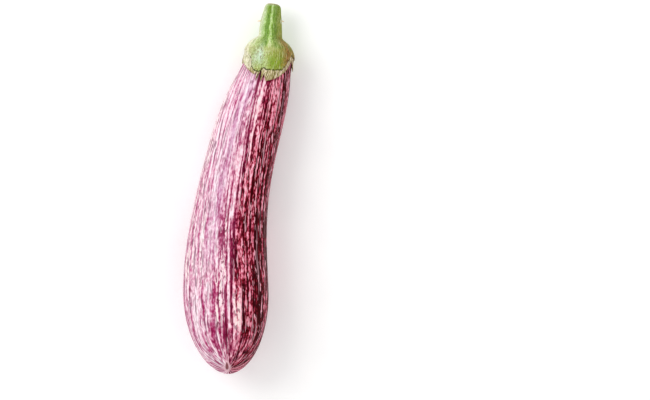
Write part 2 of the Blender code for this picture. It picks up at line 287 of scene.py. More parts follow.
# Painted light and shade round the stem, from -1 to 1: lighter down its left side, towards the key light,
# and along its middle ridge, darker in the grooves beside that ridge: degrees and lightness
STEM_PAINTED_LIGHT = (
    (-100, 0.85), (-72, 1), (-58, 1), (-42, 0.75), (-31, 0), (-19, -0.6), (-9, -0.4),
    (-3, 0.75), (2, 0.6), (8, -0.4), (30, -0.5), (50, -0.25), (66, 0), (82, 0.5), (130, -0.3),
    (160, 0.5), (195, -0.4), (225, 0.4),
)
# The stem's light and dark lines that wander here are painted light and shade
STEM_SWAY = math.radians(2.2)  # the stem's light and dark lines wander by this angle
STEM_SWAY_LENGTH = 1.1 * MM
# Where each tint lies on the calyx: degrees, millimetres, the half width of each, and strength
TINTS = {
    "olive": ((56, 238, 30, 17, 1), (40, 222, 16, 5, 0.5), (200, 236, 20, 14, 0.5)),
    # The cream spot at -72 degrees and 240 mm, and the mint spot at -50 degrees and 240 mm, belong to the
    # painted highlight down the stem's left side
    "cream": (
        (-68, 212, 20, 10, 1), (-52, 207, 9, 7, 1), (62, 241.4, 8, 1.1, 2),
        (-25, 252.8, 50, 0.8, 0.8), (-88, 222, 20, 9, 1), (-64, 227, 14, 4.5, 0.8),
        (-72, 240, 22, 16, 1), (-46, 206, 10, 3.5, 0.7), (90, 243, 9, 14, 0.7),
        (150, 230, 25, 10, 0.4),
    ),
    "mint": (
        (-26, 216, 16, 7, 1), (-12, 210, 9, 5, 0.5), (-50, 240, 13, 14, 0.8), (-38, 209, 11, 5, 0.7),
        (215, 218, 25, 9, 0.6),
    ),
    "tan": (
        (46, 217, 15, 9, 1), (72, 216, 20, 12, 1), (96, 214, 18, 12, 1), (46, 227, 14, 4, 0.6),
        (185, 214, 22, 7, 0.5),
    ),
    "beige": ((-38, 225.5, 17, 3.5, 0.85), (30, 227, 18, 3, 0.6), (2, 223, 14, 4, 0.55)),
    "leaf": (
        (8, 212.5, 13, 6.5, 1), (28, 214, 9, 5, 0.9), (4, 220, 8, 3.5, 0.3), (-22, 249, 14, 3, 0.9),
    ),
    # A painted highlight: a bluish-white spot where the key light shines on the cap's left side
    "painted_highlight": ((-20, 217, 7, 5.5, 0.8), (-31, 214, 5, 3, 0.5)),
}
CALYX_SPECULAR = 0.08
CALYX_RELIEF = 0.3 * MM
PRICKLE_GRAIN = 0.7 * MM
PRICKLE_RELIEF = 0.04 * MM

# The view: the photograph's frame is 650 by 400 pixels, seen from straight above
FRAME_PIXELS = (650, 400)
PIXEL = 0.672 * MM
OBJECT_PIXEL = (238.598, 188.35)  # where the box's centre lies in the frame
VIEW_PLANE = 29 * MM  # the height that the pixel size holds at
CAMERA_DISTANCE = 5.0
CLIP_END = 10
SENSOR = 36.0

# The studio: each light's place, diameter and power
KEY_LIGHT = ((-0.75, 0.45, 0.95), 0.9, 6.5)
FILL_LIGHT = ((0.9, -0.3, 1.0), 1.2, 1.2)
LIGHT_TARGET = (0, 0, 0.02)
WORLD_STRENGTH = 0.82
FLOOR_HALF = 3.0
FLOOR_DROP = 0.05 * MM  # the floor lies this far under the fruit
FLOOR_GRAIN = 20 * MM
FLOOR_RELIEF = 0.01 * MM
FLOOR_GLOW = 0.12  # as on a light table

NOISE_RANGE = (0.25, 0.75)  # most of a noise texture's values lie between these


def smooth_curve(stations):
    """The natural cubic spline through (millimetres, value) stations, as a function of metres."""
    places, values = np.array(stations, dtype=float).T
    places = places * MM
    spans = np.diff(places)
    slopes = np.diff(values) / spans
    count = len(places)
    system = np.eye(count)
    wanted = np.zeros(count)
    for i in range(1, count - 1):
        system[i, i - 1 : i + 2] = spans[i - 1], 2 * (spans[i - 1] + spans[i]), spans[i]
        wanted[i] = 6 * (slopes[i] - slopes[i - 1])
    bends = np.linalg.solve(system, wanted)

    def value(place):
        place = np.clip(place, places[0], places[-1])
        i = np.clip(np.searchsorted(places, place) - 1, 0, count - 2)
        before = place - places[i]
        after = places[i + 1] - place
        cubic = (bends[i] * after**3 + bends[i + 1] * before**3) / (6 * spans[i])
        left = (values[i] / spans[i] - bends[i] * spans[i] / 6) * after
        right = (values[i + 1] / spans[i] - bends[i + 1] * spans[i] / 6) * before
        return cubic + left + right

    return value


heading_at = smooth_curve(AXIS_HEADINGS)
body_at = smooth_curve(BODY_RADII)
stem_at = smooth_curve(STEM_RADII)


def rounded_off(place, top, rounding):
    """The factor, from 1 to 0, that closes a dome whose top is at that place."""
    climb = np.clip((place - (top - rounding)) / rounding, 0, 1)
    return np.sqrt(1 - climb**2)


def ease(low, high, value):
    """0 below low, 1 above high, and smooth between."""
    share = np.clip((value - low) / (high - low), 0, 1)
    return share * share * (3 - 2 * share)


def uneven(place, angle):
    """The fruit isn't quite round: the share by which its radius grows or shrinks."""
    fade = ease(0, WAVE_FADE, place) * ease(0, WAVE_FADE, FRUIT_LENGTH - place)
    waves = sum(share * np.cos(count * angle + place / twist) for count, share, twist in WAVES)
    return 1 + fade * waves


def body_radius(place, angle):
    """The body's radius with its blossom end closed, and its stem end still open."""
    outer, inner = BLOSSOM_POWERS
    closing = np.clip(1 - place / BLOSSOM_ROUNDING, 0, 1)
    blossom_end = (1 - closing**outer) ** inner
    return body_at(place) * MM * blossom_end * uneven(place, angle)


def skin_radius(place, angle):
    """The fruit's radius with both its ends closed."""
    return body_radius(place, angle) * rounded_off(place, FRUIT_LENGTH, SHOULDER_ROUNDING)


def axis_points():
    """Places along the axis, and the axis's X and Y there, added up from its headings."""
    places = np.arange(0, STEM_END + AXIS_STEP, AXIS_STEP)
    heading = np.radians(heading_at(places + AXIS_STEP / 2))
    run = AXIS_STEP * math.cos(AXIS_PITCH)
    x = AXIS_START[0] + np.concatenate(([0], np.cumsum(run * np.sin(heading))[:-1]))
    y = AXIS_START[1] + np.concatenate(([0], np.cumsum(run * np.cos(heading))[:-1]))
    return places, x, y


def resting_height():
    """The axis's height at the blossom end that presses the belly FLAT_DEPTH into the surface."""
    places = np.arange(0, FRUIT_LENGTH, AXIS_STEP)
    reach = places * math.sin(AXIS_PITCH) + skin_radius(places, math.pi) * math.cos(AXIS_PITCH)
    return reach.max() - FLAT_DEPTH


AXIS_PLACES, AXIS_X, AXIS_Y = axis_points()
AXIS_HEIGHT = resting_height()


def leaning(place, angle, radius):
    """The place moved along the axis as far as the shoulder's sections lean there."""
    slope = LEAN_SLOPE * ease(*LEAN_RISE, place) * (1 - ease(*LEAN_FALL, place))
    return place - slope * radius * np.sin(angle)


def lay_on_axis(place, angle, radius):
    """World coordinates of points given by place, angle and radius, in arrays of any one shape."""
    place, angle, radius = np.broadcast_arrays(place, angle, radius)
    place = leaning(place, angle, radius)
    heading = np.radians(heading_at(place))
    rise = -math.sin(AXIS_PITCH)
    level = math.cos(AXIS_PITCH)
    side = np.stack((np.cos(heading), -np.sin(heading), np.zeros_like(heading)), axis=-1)
    ahead = (np.sin(heading) * level, np.cos(heading) * level, np.full_like(heading, rise))
    up = np.cross(side, np.stack(ahead, axis=-1))
    x = np.interp(place, AXIS_PLACES, AXIS_X)
    y = np.interp(place, AXIS_PLACES, AXIS_Y)
    centre = np.stack((x, y, AXIS_HEIGHT + place * rise), axis=-1)
    across = (radius * np.sin(angle))[..., None] * side
    upward = (radius * np.cos(angle))[..., None] * up
    return centre + across + upward


def around(stations, angle):
    """Smooth steps through (degrees, value) stations that run once round the fruit."""
    first = (stations[0][0] + 360, stations[0][1])
    degrees, values = np.array((*stations, first), dtype=float).T
    turn = (np.degrees(angle) - degrees[0]) % 360 + degrees[0]
    i = np.clip(np.searchsorted(degrees, turn, side="right") - 1, 0, len(degrees) - 2)
    share = ease(0, 1, (turn - degrees[i]) / (degrees[i + 1] - degrees[i]))
    return values[i] + (values[i + 1] - values[i]) * share


def from_turn(angle, degrees):
    """The angle's distance from that many degrees, in degrees, between -180 and 180."""
    return (np.degrees(angle) - degrees + 180) % 360 - 180


def put_in_scene(name, data):
    """A new object of that mesh, light or camera."""
    item = bpy.data.objects.new(name, data)
    bpy.context.scene.collection.objects.link(item)
    return item


def closed_loft(name, positions, attributes):
    """A closed mesh through rows of points round the axis, whose first and last rows are one point."""
    rows, columns = positions.shape[:2]
    inner = positions[1:-1].reshape(-1, 3)
    points = np.concatenate((positions[0, :1], inner, positions[-1, :1]))
    number = 1 + np.arange((rows - 2) * columns).reshape(rows - 2, columns)
    after = np.roll(number, -1, axis=1)
    quads = np.stack((number[:-1], after[:-1], after[1:], number[1:]), axis=-1).reshape(-1, 4)
    last = len(points) - 1
    start = [(0, int(b), int(a)) for a, b in zip(number[0], after[0])]
    end = [(last, int(a), int(b)) for a, b in zip(number[-1], after[-1])]
    mesh = bpy.data.meshes.new(name)
    mesh.from_pydata(points.tolist(), [], start + quads.tolist() + end)
    for label, values in attributes.items():
        middle = values[1:-1].reshape((-1, *values.shape[2:]))
        flat = np.concatenate((values[0, :1], middle, values[-1, :1]))
        kind, field = ("FLOAT_VECTOR", "vector") if values.ndim == 3 else ("FLOAT", "value")
        mesh.attributes.new(label, kind, "POINT").data.foreach_set(field, flat.ravel().astype(np.float32))
    mesh.update()
    mesh.shade_smooth()
    return put_in_scene(name, mesh)


def scar_angle(place, angle, radius):
    """The angle round the axis, but round the scar towards the blossom end."""
    tilt = SCAR_TILT * (1 - ease(0, SCAR_TILT_REACH, place))
    height = radius * np.cos(angle) * np.cos(tilt) + (place - SCAR_PIVOT) * np.sin(tilt)
    return np.arctan2(radius * np.sin(angle), height)


def twist_at(place):
    """The angle by which the streaks have wound round the fruit at that place."""
    distances, degrees = zip(*TWIST)
    return np.radians(np.interp(place / MM, distances, degrees))


def grain_vector(place, angle):
    """Straightened coordinates in millimetres, along which the patterns run."""
    across = (GRAIN_RADIUS_MM * np.cos(angle), GRAIN_RADIUS_MM * np.sin(angle))
    return np.stack((*across, place / MM), axis=-1)


def flush_and_shade_map(place, angle):
    """How flushed the skin is, from 0, nearly white, to 1, wine red; its darkness on the +X side is
    partly painted shade.
    """
    end = 1 - ease(*END_FADE, place)
    neck = ease(*NECK_FADE, place)
    middle = 1 - end - neck
    flush_and_shade = end * around(FLUSH_AND_SHADE_END, angle) + neck * around(FLUSH_AND_SHADE_NECK, angle)
    return flush_and_shade + middle * around(FLUSH_AND_SHADE_MIDDLE, angle)


def along_stretch(place, first, last, softness):
    """1 between two distances in millimetres and 0 outside, softened either way at both."""
    start = ease(first - softness, first + softness, place / MM)
    return start * (1 - ease(last - softness, last + softness, place / MM))


def streak_map(place, grain):
    """How much the single streaks and patches add to the flush."""
    total = np.zeros_like(place)
    for degrees, width, first, last, strength in STREAKS:
        across = np.exp(-((from_turn(grain, degrees) / width) ** 2))
        total = total + strength * across * along_stretch(place, first, last, STREAK_SOFTNESS)
    return total


def zone_map(place, grain, zones):
    """From 0 outside the zones to 1 in the strongest."""
    total = np.zeros_like(place)
    for degrees, width, first, last, strength in zones:
        across = np.exp(-((from_turn(grain, degrees) / width) ** 4))
        found = strength * across * along_stretch(place, first, last, ZONE_SOFTNESS)
        total = np.maximum(total, found)
    return total


def gap_shadow_map(place, angle):
    """How strongly the painted shadow in the slit between the torn tips darkens the skin, from 0 to 1."""
    distances, degrees = zip(*GAP_SHADOW)
    aside = from_turn(angle, np.interp(place / MM, distances, degrees))
    return np.exp(-((aside / GAP_SHADOW_WIDTH) ** 2)) * ease(*GAP_SHADOW_FADE, place / MM)


def scar_dimple(place, angle):
    """How far the skin is drawn in at the blossom scar."""
    along = place - SCAR_PLACE
    across = skin_radius(place, angle) * np.sin(angle)
    near = np.exp(-(along**2 + across**2) / SCAR_RADIUS**2)
    return near * (np.cos(angle) > 0)


def scar_mark(place, angle, radius):
    """The scar's upright drop, 1 in its middle, and a wide faint halo round it."""
    along = (place - SCAR_MARK_PLACE) / SCAR_MARK_LENGTH
    taper = 1 + SCAR_MARK_TAPER * np.clip(along, *SCAR_TAPER_RANGE)
    across = (radius * np.sin(angle) - SCAR_MARK_ASIDE) / SCAR_MARK_WIDTH * taper
    halo = np.exp(-(along**2 + (across * SCAR_MARK_WIDTH / SCAR_MARK_LENGTH) ** 2) / SCAR_HALO**2)
    drop = np.exp(-(along**2 + across**2))
    return (SCAR_HALO_SHARE * halo + (1 - SCAR_HALO_SHARE) * drop) * (np.cos(angle) > 0)


def make_fruit():
    """The fruit in one closed mesh, with what its colours depend on stored at each point."""
    share = np.linspace(0, 1, FRUIT_ROWS)
    crowded = (1 - np.cos(math.pi * share)) / 2
    places = FRUIT_LENGTH * (EVEN_ROWS * share + (1 - EVEN_ROWS) * crowded)
    angles = np.linspace(-math.pi, math.pi, FRUIT_COLUMNS + 1)[:-1]
    place, angle = np.meshgrid(places, angles, indexing="ij")
    radius = np.maximum(skin_radius(place, angle) - SCAR_DEPTH * scar_dimple(place, angle), 0)
    positions = lay_on_axis(place, angle, radius)
    positions[..., 2] = np.maximum(positions[..., 2], 0)
    round_scar = scar_angle(place, angle, radius)
    grain = round_scar - twist_at(place)
    # Where the painted lilac sheen, a highlight laid into the colour, lies round the fruit
    painted_sheen = np.exp(-((from_turn(angle, PAINTED_SHEEN_CENTRE) / PAINTED_SHEEN_WIDTH) ** 2))
    attributes = {
        "grain": grain_vector(place, grain),
        "flush_and_shade": flush_and_shade_map(place, round_scar),
        "streak": streak_map(place, grain),
        "creamy": zone_map(place, grain, CREAM_ZONES),
        "flecked": zone_map(place, grain, FLECK_ZONES),
        "narrow": 1 - ease(*NARROWING, place),
        "painted_sheen": painted_sheen * ease(*PAINTED_SHEEN_START, place),
        "gap_shadow": gap_shadow_map(place, angle),
        "scar": scar_mark(place, angle, radius),
    }
    return closed_loft("eggplant_skin", positions, attributes)


def calyx_columns(rng):
    """The columns of the fine calyx: the angle of each, and the place of the margin there."""
    ragged = [rng.uniform(-1, 1) for _ in range(COLUMNS * len(LOBES))]
    steps = np.arange(COLUMNS * len(LOBES) * FINE) / FINE
    widths, middles, tips, notches = (np.array(found, dtype=float) for found in zip(*LOBES))
    starts = FIRST_NOTCH + np.concatenate(([0], np.cumsum(widths)[:-1]))
    lobe = (steps // COLUMNS).astype(int)
    across = steps / COLUMNS - lobe
    middle = middles[lobe]
    share = np.where(across < middle, across / middle / 2, 1 - (1 - across) / (1 - middle) / 2)
    before = np.roll(notches, 1)[lobe]
    base = before + (notches[lobe] - before) * share
    bulge = 1 - np.abs(2 * share - 1) ** LOBE_BLUNTNESS
    wander = np.interp(steps, np.arange(len(ragged) + 1), ragged + ragged[:1])
    edge = (base + (tips[lobe] - base) * bulge) * MM + RAGGED * wander
    angle = np.radians(starts[lobe] + widths[lobe] * across)
    for degrees, width, depth in TEARS:
        edge = edge + depth * MM * np.exp(-((from_turn(angle, degrees) / width) ** 2))
    return angle, edge


def outer_radius(place, angle, cover, rib):
    """The green outer surface: the cap over the skin, run softly into the ribbed stem."""
    cap = (body_radius(place, angle) + cover) * rounded_off(place, CAP_TOP, CAP_ROUNDING)
    stem = stem_at(place) * MM * (1 + STEM_RIB * rib)
    larger = np.maximum(cap, stem)
    return larger + FILLET * np.log(np.exp((cap - larger) / FILLET) + np.exp((stem - larger) / FILLET))


def inner_radius(place, angle):
    """The calyx's inner surface, which keeps clear of the skin."""
    top = FRUIT_LENGTH + GAP
    return (body_radius(place, angle) + GAP) * rounded_off(place, top, SHOULDER_ROUNDING + GAP)


def fibres(place, angle, rng):
    """Fine ridges that run along the stem and fan out over the cap, between -1 and 1."""
    total = np.zeros_like(place + angle)
    for count in FIBRE_COUNTS:
        drift = rng.uniform(-FIBRE_DRIFT, FIBRE_DRIFT) * count
        turn = rng.uniform(0, 2 * math.pi)
        total = total + np.cos(count * angle + turn + drift * place / FIBRE_RUN)
    return total / len(FIBRE_COUNTS)


def wrinkles(place, angle, rng):
    """Soft unevenness of the cap, between about -1 and 1."""
    total = np.zeros_like(place + angle)
    for count, length in WRINKLES:
        turn = rng.uniform(0, 2 * math.pi)
        shift = turn * 3  # any that differs from one to the next
        total = total + np.cos(count * angle + turn) * np.cos(place / length + shift)
    return total / len(WRINKLES)


def lift(share):
    """How far the cap stands off the skin, by the share of the way to its margin."""
    return MARGIN_LIFT * ease(*LIFT_START, share)


def make_calyx(rng):
    """The calyx cap with its lobes and the ribbed stem, in one closed mesh."""
    angle, edge = calyx_columns(rng)
    detail = random.Random(SEED + 1)
    rib = np.cos(RIBS * angle)
    crease = around(CREASE, angle) * MM
    above = CAP_THICK + GAP
    rows = []

    def add(place, radius, toward, cut=1.0):
        rows.append(np.broadcast_arrays(place, radius, toward, cut + 0 * angle))

    for measure in np.linspace(0, CUT_REACH, CUT_ROWS):
        place = STEM_END - CUT_ROUNDING * (1 - math.sqrt(1 - measure**CUT_POWER)) + 0 * angle
        add(place, outer_radius(place, angle, above, rib) * measure, 0.0, measure * CUT_REACH)
    for place in np.linspace(STEM_END - CUT_ROUNDING, FLARE_END, STEM_ROWS):
        add(place, outer_radius(place + 0 * angle, angle, above + CAP_RIB * rib, rib), 0.0)
    for share in np.linspace(0, 1, CAP_ROWS + 1)[1:]:
        place = FLARE_END + (edge - FLARE_END) * share
        thick = CAP_THICK + (MARGIN_THICK - CAP_THICK) * ease(*THINNING, share)
        over = place - crease
        start = ease(*CREASE_START, share)
        thick = thick + start * BAND_STEP * ease(-CREASE_WIDTH, CREASE_WIDTH, over)
        thick = thick - start * CREASE_DEPTH * np.exp(-((over / CREASE_WIDTH) ** 2))
        ridge = CAP_RIB * rib * (1 - ease(*RIB_FADE, share))
        cover = GAP + np.maximum(thick, MARGIN_THICK) + ridge + lift(share)
        add(place, outer_radius(place, angle, cover, rib), share)
    for turn in np.linspace(0, math.pi, RIM_ROWS + 2)[1:-1]:
        place = edge - MARGIN_THICK / 2 * math.sin(turn)
        radius = inner_radius(place, angle) + MARGIN_LIFT + MARGIN_THICK / 2 * (1 + math.cos(turn))
        add(place, radius, 1.0)
    for share in np.linspace(1, 0, INNER_ROWS):
        place = FLARE_END + (edge - FLARE_END) * share
        add(place, inner_radius(place, angle) + lift(share), 1.0)
    top = FRUIT_LENGTH + GAP
    for climb in np.sin(np.linspace(0, math.pi / 2, DOME_ROWS + 1)[1:]):
        place = FLARE_END + (top - FLARE_END) * climb + 0 * angle
        add(place, inner_radius(place, angle) * (climb < 1), 1.0)

    place, radius, toward, cut = (np.array(found) for found in zip(*rows))
    outside = (np.arange(len(place)) < CUT_ROWS + STEM_ROWS + CAP_ROWS)[:, None] * cut**CUT_FADE_POWER
    on_cap = ease(*WRINKLE_START, toward) * (1 - ease(*WRINKLE_FADE, toward)) * outside
    lively = outside * (1 - ease(*FIBRE_FADE, toward))
    radius = radius + FIBRE_HEIGHT * fibres(place, angle[None, :], detail) * lively
    radius = radius + WRINKLE_HEIGHT * wrinkles(place, angle[None, :], detail) * on_cap
    turn = np.broadcast_to(angle, place.shape)
    attributes = {
        "grain": grain_vector(place, turn),
        "toward": toward,
        "cut": cut,
        "over": (place - crease) / MM,
        "rib": np.broadcast_to(rib, place.shape),
        # Painted light and shade round the stem
        "light": around(STEM_PAINTED_LIGHT, turn + STEM_SWAY * np.sin(place / STEM_SWAY_LENGTH)),
    }
    for name, spots in TINTS.items():
        attributes[name] = tint_map(place, turn, spots)
    return closed_loft("calyx_and_stem", lay_on_axis(place, turn, radius), attributes)


def tint_map(place, angle, spots):
    """The strength of one tint, from 0 to 1, added up from its spots."""
    total = np.zeros_like(place)
    for degrees, distance, width, length, strength in spots:
        aside = from_turn(angle, degrees) / width
        along = (place / MM - distance) / length
        total = total + strength * np.exp(-(aside**2 + along**2))
    return np.clip(total, 0, 1)


def prickle_places(rng):
    """Each prickle's angle in degrees, and its place and height in metres."""
    found = [(angle, place * MM, height * MM) for angle, place, height in PRICKLES]
    low, high = PRICKLE_SPREAD
    for number in range(PRICKLE_DRAWS):
        share = (number + rng.uniform(*PRICKLE_JITTER)) / PRICKLE_DRAWS
        found.append((low + (high - low) * share, rng.uniform(*PRICKLE_RANGE), DRAWN_HEIGHT * MM))
    return found


def make_prickles(rng):
    """The prickles, each a slim thorn that swells at its root and bends a little to the fruit."""
    points = []
    faces = []
    heights = []
    above = CAP_THICK + GAP
    for degrees, place, height in prickle_places(rng):
        angle = math.radians(degrees)
        surface = float(outer_radius(np.array([place]), np.array([angle]), above, 0)[0])
        foot = Vector(lay_on_axis(place, angle, surface - PRICKLE_ROOT))
        tip = Vector(lay_on_axis(place - PRICKLE_LEAN, angle, surface + height))
        run = tip - foot
        side = run.orthogonal().normalized()
        other = run.cross(side).normalized()
        bend = Vector(lay_on_axis(place + PRICKLE_ROOT, angle, surface)) - foot
        bend = (bend - bend.project(run)) * PRICKLE_BEND
        first = len(points)
        for ring in range(PRICKLE_RINGS):
            share = ring / PRICKLE_RINGS
            width = PRICKLE_RADIUS * (1 - share) ** PRICKLE_TAPER
            middle = foot + run * share + bend * 4 * share * (1 - share)
            for step in range(PRICKLE_SIDES):
                turn = 2 * math.pi * step / PRICKLE_SIDES
                points.append(middle + side * (width * math.cos(turn)) + other * (width * math.sin(turn)))
                heights.append(share)
        points.append(tip)
        heights.append(1.0)
        last = len(points) - 1
        faces.append([first + step for step in reversed(range(PRICKLE_SIDES))])
        for ring in range(PRICKLE_RINGS - 1):
            for step in range(PRICKLE_SIDES):
                a = first + ring * PRICKLE_SIDES + step
                b = first + ring * PRICKLE_SIDES + (step + 1) % PRICKLE_SIDES
                faces.append((a, b, b + PRICKLE_SIDES, a + PRICKLE_SIDES))
        top = first + (PRICKLE_RINGS - 1) * PRICKLE_SIDES
        for step in range(PRICKLE_SIDES):
            faces.append((top + step, top + (step + 1) % PRICKLE_SIDES, last))
    mesh = bpy.data.meshes.new("calyx_prickles")
    mesh.from_pydata([tuple(point) for point in points], [], faces)
    mesh.attributes.new("height", "FLOAT", "POINT").data.foreach_set("value", heights)
    mesh.shade_smooth()
    return put_in_scene("calyx_prickles", mesh)


def tone(red, green, blue):
    """A colour named as on screen, from 0 to 255, in the linear values that shaders take."""
    found = []
    for value in (red, green, blue):
        share = value / 255
        found.append(share / 12.92 if share <= 0.04045 else ((share + 0.055) / 1.055) ** 2.4)
    return (*found, 1.0)


class Nodes:
    """Short calls for building one material's node tree."""

    def __init__(self, name):
        self.material = bpy.data.materials.new(name)
        self.material.use_nodes = True
        self.tree = self.material.node_tree
        self.shader = self.tree.nodes["Principled BSDF"]
        self.colour = None

    def new(self, kind):
        return self.tree.nodes.new("ShaderNode" + kind)

    def link(self, source, target):
        self.tree.links.new(source, target)

    def feed(self, socket, value):
        if isinstance(value, bpy.types.NodeSocket):
            self.link(value, socket)
        else:
            socket.default_value = value

    def attribute(self, name, output="Fac"):
        """A value that is stored at each point of the mesh."""
        node = self.new("Attribute")
        node.attribute_name = name
        return node.outputs[output]

    def math(self, operation, first, second=0.0, clamp=False):
        node = self.new("Math")
        node.operation = operation
        node.use_clamp = clamp
        self.feed(node.inputs[0], first)
        self.feed(node.inputs[1], second)
        return node.outputs[0]

    def plus(self, first, second):
        return self.math("ADD", first, second)

    def times(self, first, second, clamp=False):
        return self.math("MULTIPLY", first, second, clamp)

    def weigh(self, *parts):
        """The sum of values that each come with a weight."""
        total = self.times(*parts[0])
        for value, weight in parts[1:]:
            total = self.plus(total, self.times(value, weight))
        return total

    def stretch(self, vector, wide, long):
        """The coordinates, scaled so that one unit is that wide across and that long."""
        node = self.new("VectorMath")
        node.operation = "MULTIPLY"
        self.link(vector, node.inputs[0])
        node.inputs[1].default_value = (1 / wide, 1 / wide, 1 / long)
        return node.outputs[0]

    def noise(self, vector, wide, long, detail=2.0, roughness=0.5, seed=0):
        """A noise between about -1 and 1, with most of it near 0, and marks of that size."""
        node = self.new("TexNoise")
        node.noise_dimensions = "4D"
        node.inputs["W"].default_value = seed
        node.inputs["Scale"].default_value = 1.0
        node.inputs["Detail"].default_value = detail
        node.inputs["Roughness"].default_value = roughness
        self.link(self.stretch(vector, wide, long), node.inputs["Vector"])
        return self.between(node.outputs["Fac"], *NOISE_RANGE, -1.0, 1.0, clamp=False)

    def between(self, value, low, high, to_low=0.0, to_high=1.0, clamp=True, smooth=False):
        """The value, carried over from the first range to the second."""
        node = self.new("MapRange")
        node.clamp = clamp
        node.interpolation_type = "SMOOTHSTEP" if smooth else "LINEAR"
        self.feed(node.inputs["Value"], value)
        numbers = {"From Min": low, "From Max": high, "To Min": to_low, "To Max": to_high}
        for label, number in numbers.items():
            node.inputs[label].default_value = number
        return node.outputs["Result"]

    def rise(self, value, low, high, top=1.0):
        """Smoothly from 0, where the value is low, to top, where it is high."""
        return self.between(value, low, high, 0.0, top, smooth=True)

    def ramp(self, value, *stops):
        """The colour at that value, from stops of a value and a tone each."""
        node = self.new("ValToRGB")
        self.link(value, node.inputs["Fac"])
        elements = node.color_ramp.elements
        while len(elements) < len(stops):
            elements.new(0.5)
        for element, (place, *shade) in zip(elements, stops):
            element.position = place
            element.color = tone(*shade)
        return node.outputs["Color"]

    def mix(self, factor, first, second):
        """From the first colour, at 0, to the second, at 1."""
        node = self.new("Mix")
        node.data_type = "RGBA"
        self.feed(node.inputs["Factor"], factor)
        self.feed(node.inputs[6], first)
        self.feed(node.inputs[7], second)
        return node.outputs[2]

    def crisp(self, value, spread):
        """The noise with its slopes steepened, so that its strokes have edges."""
        return self.between(value, -spread, spread, -1.0, 1.0, smooth=True)

    def blend(self, factor, first, second):
        """From the first number, at 0, to the second, at 1."""
        node = self.new("Mix")
        self.feed(node.inputs["Factor"], factor)
        self.feed(node.inputs[2], first)
        self.feed(node.inputs[3], second)
        return node.outputs[0]

    def bump(self, height, distance):
        node = self.new("Bump")
        node.inputs["Strength"].default_value = 1.0
        node.inputs["Distance"].default_value = distance
        self.link(height, node.inputs["Height"])
        return node.outputs["Normal"]

    def paint(self, amount, shade):
        """Lays a shade over the colour so far, as strongly as the amount says."""
        self.colour = self.mix(amount, self.colour, shade)

    def finish(self, roughness, normal):
        self.link(self.colour, self.shader.inputs["Base Color"])
        self.link(roughness, self.shader.inputs["Roughness"])
        self.link(normal, self.shader.inputs["Normal"])
        return self.material


